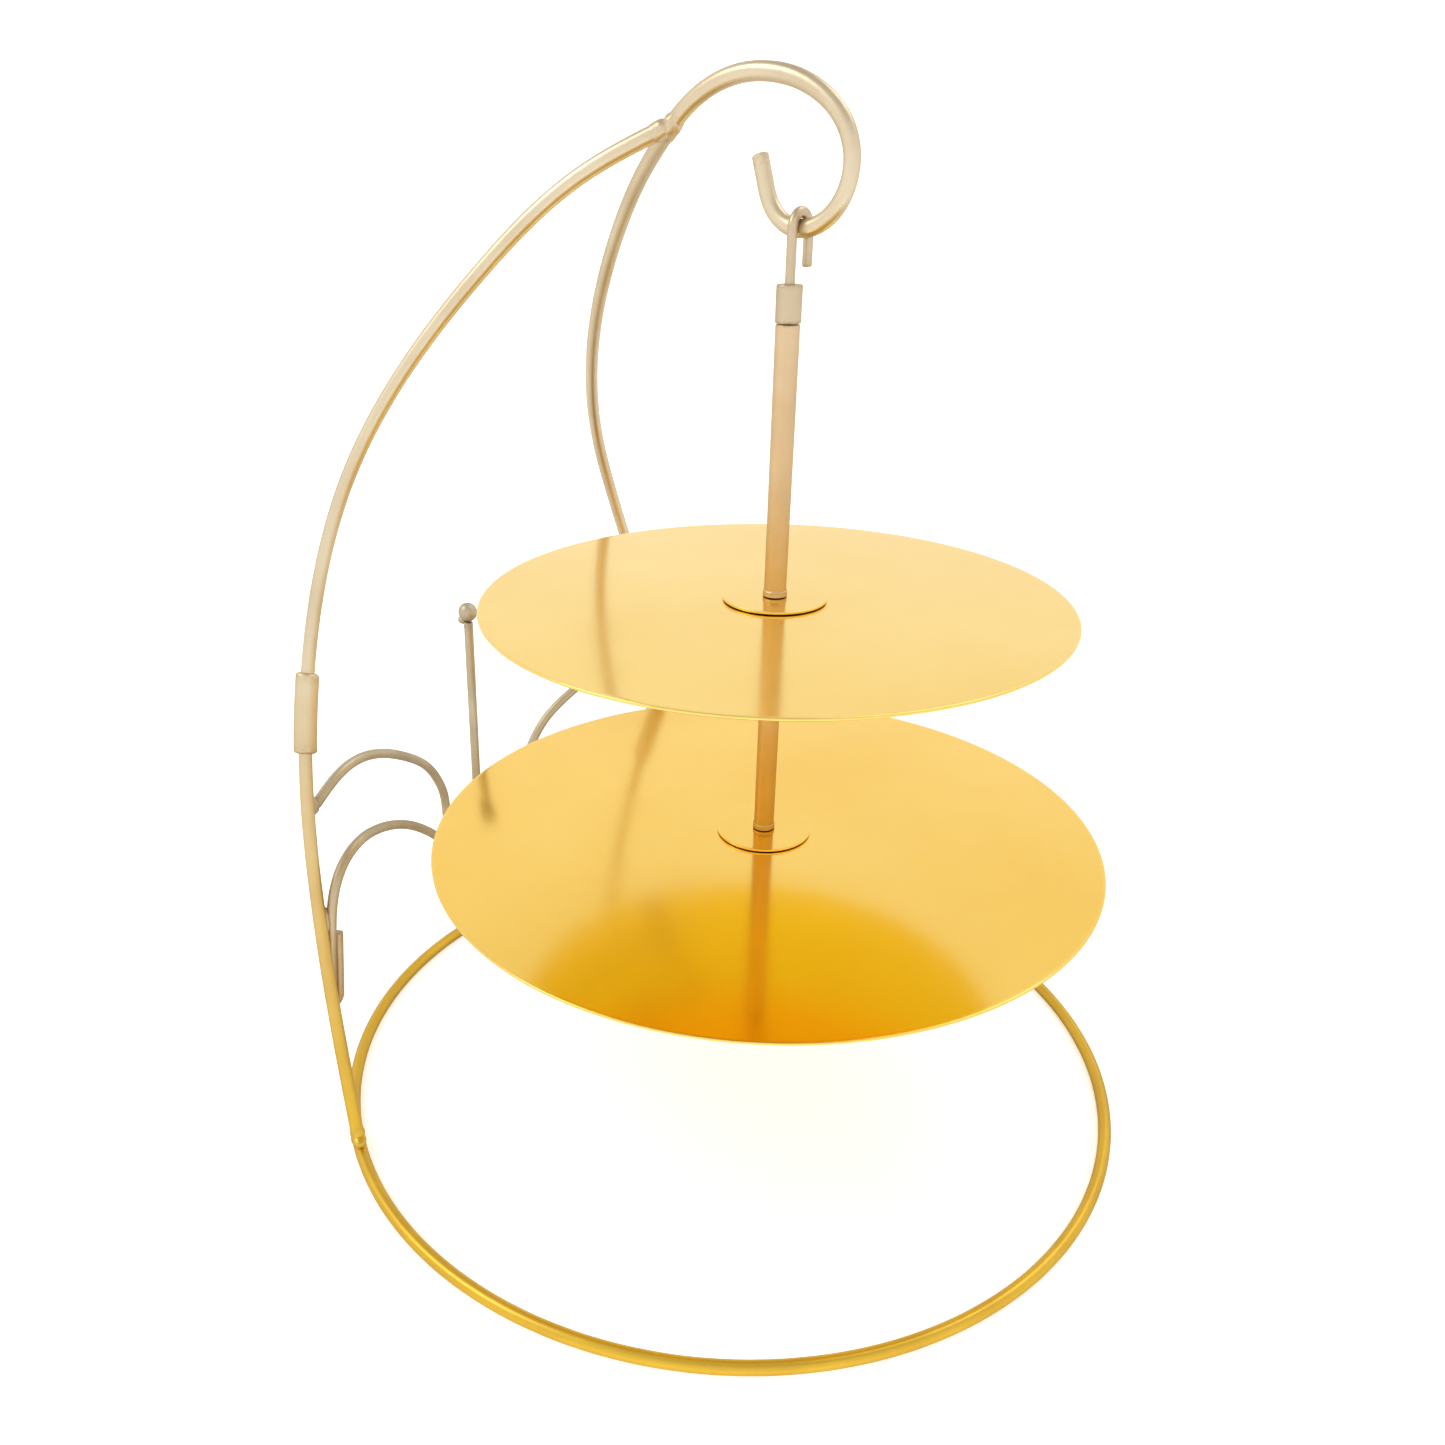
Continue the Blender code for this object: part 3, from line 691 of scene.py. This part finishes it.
def makeBaseRing(s):
    low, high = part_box("base_ring")
    radius = (high.x - low.x) / 2 - frameRodRadius
    height = (high.z + low.z) / 2
    line = [
        Vector((radius * math.sin(angle), radius * math.cos(angle), height))
        for angle in np.linspace(0, 2 * math.pi, s["points"], endpoint=False)
    ]
    piece = linePiece("baseRingRod", line, {
        "Radius": frameRodRadius, "Sides": s["sides"], "Spacing": s["spacing"], "Rim": 0.0,
        "Waviness": rodSettings["waviness"], "Finish": materials["rodGold"],
    }, closed=True)
    for vertex in piece.data.vertices:  # nothing sinks below the table
        vertex.co.z = max(vertex.co.z, low.z)
    standFor(piece, "rodGold", "frame", "base_ring")


makeBaseRing(ringSettings)

# Turned pieces

roundSettings = {
    "straight": 2.9,  # radians; a corner more open than this stays as it is
    "share": 0.45,  # the most of a side that one rounding takes
    "room": 2.4,  # a side this many roundings long gets a point beside each
    "steps": 4,
}


def rounded(outline, radius, halo, closed=False):
    # Rounds an outline's corners. Each result is (radius, height, edge), edge 1 on the rounding.
    s = roundSettings
    points = [Vector(point) for point in outline]
    result, count = [], len(points)
    for i, point in enumerate(points):
        if not closed and i in (0, count - 1):
            result.append((*point, 0.0))
            continue
        before, after = points[i - 1] - point, points[(i + 1) % count] - point
        if before.angle(after) > s["straight"]:
            result.append((*point, 0.0))
            continue
        cut = min(radius, before.length * s["share"], after.length * s["share"])
        start, end = point + before.normalized() * cut, point + after.normalized() * cut
        if before.length > s["room"] * (cut + halo):
            result.append((*(start + before.normalized() * halo), 0.0))
        for share in np.linspace(0, 1, s["steps"] + 1):
            curve = start.lerp(point, share).lerp(point.lerp(end, share), share)
            result.append((*curve, 1.0))
        if after.length > s["room"] * (cut + halo):
            result.append((*(end + after.normalized() * halo), 0.0))
    return result


def turnedMesh(name, outline, steps, place, closed=False):
    # Spins an outline of (radius, height, edge) about the place's Z.
    rings, faces, points, edge = [], [], [], []
    for radius, height, mark in outline:
        if radius < 0.001 * mm:  # a point on the axis
            rings.append([len(points)] * steps)
            points.append(place @ Vector((0, 0, height)))
            edge.append(mark)
            continue
        rings.append(list(range(len(points), len(points) + steps)))
        for turn in range(steps):
            angle = 2 * math.pi * turn / steps
            spot = Vector((radius * math.cos(angle), radius * math.sin(angle), height))
            points.append(place @ spot)
            edge.append(mark)
    pairs = list(zip(rings, rings[1:]))
    if closed:
        pairs.append((rings[-1], rings[0]))
    for first, second in pairs:
        for turn in range(steps):
            nextTurn = (turn + 1) % steps
            face = [first[turn], second[turn], second[nextTurn], first[nextTurn]]
            face = [corner for i, corner in enumerate(face) if corner not in face[:i]]
            if len(face) > 2:
                faces.append(face)
    mesh = bpy.data.meshes.new(name)
    mesh.from_pydata(points, [], faces)
    mesh.attributes.new("edge", "FLOAT", "POINT").data.foreach_set("value", edge)
    bm = bmesh.new()
    bm.from_mesh(mesh)
    bmesh.ops.recalc_face_normals(bm, faces=bm.faces)
    bm.to_mesh(mesh)
    bm.free()
    mesh.shade_smooth()
    piece = bpy.data.objects.new(name, mesh)
    bpy.context.scene.collection.objects.link(piece)
    return piece


# The tiers' own frame: Z runs up the post, and the hook's rod is at height 0.
hookPoint = Vector(joints["tier_swing"]["pos_m"])
postUp = Vector(joints["tier_turn"]["axis"]).normalized()
postPoint = Vector(joints["tier_turn"]["pos_m"])
postTop = postPoint + postUp * (hookPoint - postPoint).dot(postUp)
swingAxis = Vector((0, 1, 0))
postAxes = Matrix((swingAxis.cross(postUp).normalized(), swingAxis, postUp)).transposed()
postFrame = Matrix.Translation(postTop) @ postAxes.to_4x4()
loopRadius = (hookPoint - postTop).length


def measured(node):
    # Outer radius, lowest and highest point of a tier piece on the post's axis.
    inverse = postFrame.inverted()
    points = [inverse @ vertex.co for vertex in cadNodes[node].data.vertices]
    heights = [point.z for point in points]
    return max(point.xy.length for point in points), min(heights), max(heights)


plateSettings = {
    "edgeRadius": 0.45 * mm,
    "halo": 1.2 * mm,
    "steps": 192,
    "hole": 2.3 * mm,
}

flangeSettings = {
    "edgeRadius": 0.25 * mm,
    "halo": 0.4 * mm,
    "steps": 96,
    "hole": 2.3 * mm,
}


def makeDisc(tier, kind, s):
    node = f"{tier}_{kind}"
    outer, low, high = measured(node)
    outline = [(s["hole"], high), (outer, high), (outer, low), (s["hole"], low)]
    outline = rounded(outline, s["edgeRadius"], s["halo"], closed=True)
    name = f"{tier}{kind.title()}Disc"
    piece = turnedMesh(name, outline, s["steps"], postFrame, closed=True)
    standFor(piece, "plateGold", "tiers", node)


postSettings = {
    "radius": 3.8 * mm,
    "beadOut": 0.35 * mm,
    "beadLow": 0.3 * mm,
    "beadHigh": 1.6 * mm,
    "footRadius": 4.2 * mm,
    "edgeRadius": 0.35 * mm,
    "halo": 0.6 * mm,
    "steps": 48,
    "collarGap": 0.3 * mm,
}


def makePost(tier, s, top=math.inf):
    low, high = measured(f"{tier}_post")[1:]
    high = min(high, top)
    radius, bead = s["radius"], s["radius"] + s["beadOut"]
    outline = [
        (0, high), (radius, high),
        (radius, low + s["beadHigh"] + s["beadOut"]), (bead, low + s["beadHigh"]),
        (bead, low + s["beadLow"]), (s["footRadius"], low), (0, low),
    ]
    outline = rounded(outline, s["edgeRadius"], s["halo"])
    piece = turnedMesh(f"{tier}PostTube", outline, s["steps"], postFrame)
    standFor(piece, "postGold", "tiers", f"{tier}_post")


collarSettings = {
    "edgeRadius": 0.55 * mm,
    "halo": 0.5 * mm,
    "bore": 1.75 * mm,
    "cavity": 2.7 * mm,
    "roof": 2.0 * mm,
    "steps": 48,
}


def makeCollar(s):
    outer, low, high = measured("collar")
    outline = [
        (s["bore"], high), (outer, high), (outer, low), (s["cavity"], low),
        (s["cavity"], high - s["roof"]), (s["bore"], high - s["roof"]),
    ]
    outline = rounded(outline, s["edgeRadius"], s["halo"], closed=True)
    piece = turnedMesh("collarCap", outline, s["steps"], postFrame, closed=True)
    standFor(piece, "fittingGold", "tiers", "collar")


for tier in ("upper", "lower"):
    makeDisc(tier, "plate", plateSettings)
    makeDisc(tier, "flange", flangeSettings)
makePost("upper", postSettings, measured("collar")[1] - postSettings["collarGap"])
makePost("lower", postSettings)
makeCollar(collarSettings)
print("plates, flanges, posts and collar turned")

hangerSettings = {
    "wireRadius": 1.5 * mm,
    "stem": (1.0, 0.7, 0.4, 0.1),  # points up the stem, as shares of its length
    "arcPoints": 25,
    "tail": 10.0 * mm,
    "tailPoints": (0.3, 0.6, 1.0),
}


def makeHanger(s):
    low = measured("hanger_hook")[1]
    line = [(0, low * share) for share in s["stem"]]
    for angle in np.linspace(math.pi, 0, s["arcPoints"]):
        line.append((loopRadius * (1 + math.cos(angle)), loopRadius * math.sin(angle)))
    line += [(2 * loopRadius, -s["tail"] * share) for share in s["tailPoints"]]
    line = [postFrame @ Vector((x, 0, z)) for x, z in line]
    makeRod("hangerWire", "hanger_hook", "fittingGold", "hanger", line, s["wireRadius"])


makeHanger(hangerSettings)

finialSettings = {
    "steps": 40,
    "rings": 24,
    "wearFrom": 0.4,  # how low on the ball the wear starts, 1 at its foot
}


def makeFinial(s):
    low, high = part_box("ball_finial")
    middle, radius = (low + high) / 2, (high.z - low.z) / 2
    outline = [(0.0, radius, 0.0)]
    for angle in np.linspace(0, math.pi, s["rings"])[1:-1]:
        worn = max(0.0, -math.cos(angle) - s["wearFrom"])
        outline.append((radius * math.sin(angle), radius * math.cos(angle), worn))
    outline.append((0.0, -radius, 1.0))
    piece = turnedMesh("finialBall", outline, s["steps"], Matrix.Translation(middle))
    standFor(piece, "agedGold", "frame", "ball_finial")


makeFinial(finialSettings)

sleeveSettings = {
    "rim": 0.9 * mm,
    "bore": 2.75 * mm,
    "sides": 36,
    "spacing": 0.8 * mm,
    "waviness": 0.06 * mm,
    "points": 8,
    "reach": 12 * mm,  # how much of the rod beyond the sleeve its axis is taken from
    "boreOver": 3 * mm,
}


def sideLine(side):
    # One side's whole rod, foot to junction.
    return upwardLine(f"{side}_upright")[0] + upwardLine(f"{side}_arm")[0]


def makeSleeve(side, s):
    node = f"{side}_sleeve"
    low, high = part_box(node)
    line = [p for p in sideLine(side) if low.z - s["reach"] < p.z < high.z + s["reach"]]
    heights = [point.z for point in line]
    lean = (line[-1] - line[0]).normalized().z

    def offLine(point):
        pairs = zip(line, line[1:])
        return min((point - first).cross((last - first).normalized()).length for first, last in pairs)

    outer = max(offLine(vertex.co) for vertex in cadNodes[node].data.vertices)
    tilt = outer * math.sqrt(1 - lean * lean)

    def atHeight(z):
        return Vector([np.interp(z, heights, [point[k] for point in line]) for k in range(3)])

    axis = [atHeight(z) for z in np.linspace(low.z + tilt, high.z - tilt, s["points"])]
    values = {
        "Sides": s["sides"], "Spacing": s["spacing"], "Waviness": s["waviness"],
        "Finish": materials["rodGold"],
    }
    shell = linePiece(f"{side}SleeveShell", shortened(axis, s["rim"]), {
        **values, "Radius": outer, "Rim": s["rim"],
    })
    bore = linePiece("bore", shortened(axis, -s["boreOver"]), {
        **values, "Radius": s["bore"], "Rim": 0.0,
    })
    cut = shell.modifiers.new("bore", "BOOLEAN")
    cut.object, cut.operation, cut.solver = bore, "DIFFERENCE", "EXACT"
    piece = settled(f"{side}SleeveTube", shell)
    bpy.data.objects.remove(bore)
    standFor(piece, "rodGold", "frame", node)


for side in ("left", "right"):
    makeSleeve(side, sleeveSettings)
print("hanger, ball and sleeves made")

# Weld beads, one or two lumpy blobs at each joint of the frame

beadSettings = {
    "lumps": 0.9 * mm,
    "lumpScale": 420.0,
    "lumpDetail": 2.5,
    "detail": 4,
    "rodSpots": {  # how far from the joint each sits, and its half sizes in rod radii
        "foot": (-0.6 * mm, (1.08, 1.1, 1.9)),
        "footRise": (2.2 * mm, (1.1, 1.12, 1.7)),
        "armEnd": (2.6 * mm, (1.12, 1.14, 1.8)),
        "hookEnd": (1.6 * mm, (1.25, 1.2, 1.7)),
        "hookLump": (2.4 * mm, (0.8, 0.7, 1.3)),
    },
    "scrollSpots": {  # those between two rods sit at a share of the gap
        "archOuter": (0.35, (1.15, 1.15, 1.9)),
        "archInner": (0.3, (1.15, 1.15, 2.0)),
        "curlInner": (0.0, (1.1, 1.1, 1.8)),
        "curlTouch": (0.5, (0.75, 0.75, 2.6)),
        "centreFoot": (-0.3 * mm, (1.15, 1.2, 1.9)),
        "centreTop": (0.0, (1.1, 1.1, 0.9)),
    },
    "hookRise": 1.7 * mm,
    "hookAlong": (1, 0.4, 0.2),
}


def makeBeadTree(s):
    sheet, given, result = startGroup("weldBeads", "GeometryNodeTree", {
        "Geometry": ("NodeSocketGeometry", None),
        "Lumps": ("NodeSocketFloat", 0.0008),
        "Lump Scale": ("NodeSocketFloat", 500.0),
        "Detail": ("NodeSocketInt", 4),
        "Seed": ("NodeSocketFloat", 3.0),
        "Finish": ("NodeSocketMaterial", None),
    }, {"Geometry": "NodeSocketGeometry"})
    add = sheet.add

    def carried(label):
        node = add("GeometryNodeInputNamedAttribute", {"Name": label}, data_type="FLOAT_VECTOR")
        return node.outputs[0]

    ball = add("GeometryNodeMeshIcoSphere", {"Radius": 1.0, "Subdivisions": given["Detail"]})
    turn = add("FunctionNodeAlignRotationToVector", {"Vector": carried("along")}, axis="Z")
    blobs = add("GeometryNodeInstanceOnPoints", {
        "Points": given["Geometry"], "Instance": ball.outputs[0],
        "Rotation": turn.outputs[0], "Scale": carried("size"),
    }).outputs[0]
    real = add("GeometryNodeRealizeInstances", {"Geometry": blobs}).outputs[0]
    lumps = add("ShaderNodeTexNoise", {
        "W": given["Seed"], "Scale": given["Lump Scale"], "Detail": s["lumpDetail"],
    }, noise_dimensions="4D").outputs[0]
    lumpy = pushedOut(sheet, real, lumps, 0.45, given["Lumps"])
    worn = withEdge(sheet, lumpy, sheet.maths("MULTIPLY_ADD", lumps, 2.0, -0.4, clamp=True))
    finished(sheet, smoothed(sheet, worn, True, "FACE"), given["Finish"], result)
    return sheet.tree


beadTree = makeBeadTree(beadSettings)


def makeBeads(name, spots, finish, s):
    # Each spot is a place, the direction the bead runs in, and its half sizes.
    mesh = bpy.data.meshes.new(name + "Spots")
    mesh.from_pydata([tuple(spot[0]) for spot in spots], [], [])
    for label, column in (("along", 1), ("size", 2)):
        values = np.array([tuple(spot[column]) for spot in spots], np.float32).ravel()
        mesh.attributes.new(label, "FLOAT_VECTOR", "POINT").data.foreach_set("vector", values)
    piece = shapedBy(beadTree, name, mesh, {
        "Lumps": s["lumps"], "Lump Scale": s["lumpScale"], "Detail": s["detail"],
        "Finish": materials[finish],
    })
    standFor(piece, finish, "frame")


def nearest(line, place):
    # The line's closest point and its direction there.
    i = min(range(len(line)), key=lambda k: (line[k] - place).length)
    first, last = line[max(i - 1, 0)], line[min(i + 1, len(line) - 1)]
    return line[i], (last - first).normalized()


def scrollLine(side, kind):
    # A scroll's centreline, from its inner end.
    line = centreline(f"{side}_{kind}_scroll")[0]
    return line if abs(line[0].x) < abs(line[-1].x) else line[::-1]


def frameBeads(s):
    rodBeads, scrollBeads = [], []

    def onRod(label, place, way, along=None):
        shift, size = s["rodSpots"][label]
        along = way if along is None else along
        rodBeads.append((place + way * shift, along, [frameRodRadius * part for part in size]))

    def onScroll(label, place, way, along):
        shift, size = s["scrollSpots"][label]
        scrollBeads.append((place + way * shift, along, [scrollRodRadius * part for part in size]))

    up = Vector((0, 0, 1))
    for side in ("left", "right"):
        whole = sideLine(side)
        foot = whole[0]
        lean = (whole[1] - foot).normalized()
        onRod("foot", foot, lean, Vector((foot.y, -foot.x, 0)).normalized())
        onRod("footRise", foot, lean)
        arm = upwardLine(f"{side}_arm")[0]
        onRod("armEnd", arm[-1], (arm[-1] - arm[-2]).normalized())
        arch, curl = scrollLine(side, "arch"), scrollLine(side, "curl")
        place, along = nearest(whole, arch[-1])
        onScroll("archOuter", arch[-1], place - arch[-1], along)
        place, along = nearest(curl, arch[0])
        onScroll("archInner", arch[0], place - arch[0], along)
        onScroll("curlInner", curl[0], up, up)
        close = min(curl, key=lambda p: (p - nearest(whole, p)[0]).length)
        place, along = nearest(whole, close)
        onScroll("curlTouch", close, place - close, along)
    low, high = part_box("centre_rod")
    back = (low.y + high.y) / 2
    onScroll("centreFoot", Vector((0, back, low.z)), up, Vector((1, 0, 0)))
    onScroll("centreTop", Vector((0, back, high.z)), up, up)
    hook = centreline("top_hook")[0]
    hook = hook if hook[0].y > hook[-1].y else hook[::-1]
    away = (hook[0] - hook[1]).normalized()
    onRod("hookEnd", hook[0], away)
    onRod("hookLump", hook[0] + up * s["hookRise"], away, Vector(s["hookAlong"]))
    makeBeads("frameWeldBeads", rodBeads, "rodGold", s)
    makeBeads("scrollWeldBeads", scrollBeads, "agedGold", s)


frameBeads(beadSettings)
print("weld beads placed")

hiddenFinishes = {  # inside and under the tiers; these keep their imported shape
    "hanger_nut": "fittingGold",
    "upper_stud": "agedGold",
    "bottom_washer": "agedGold",
    "bottom_screw": "agedGold",
}
for node, finish in hiddenFinishes.items():
    cadNodes[node].data.materials.clear()
    cadNodes[node].data.materials.append(materials[finish])
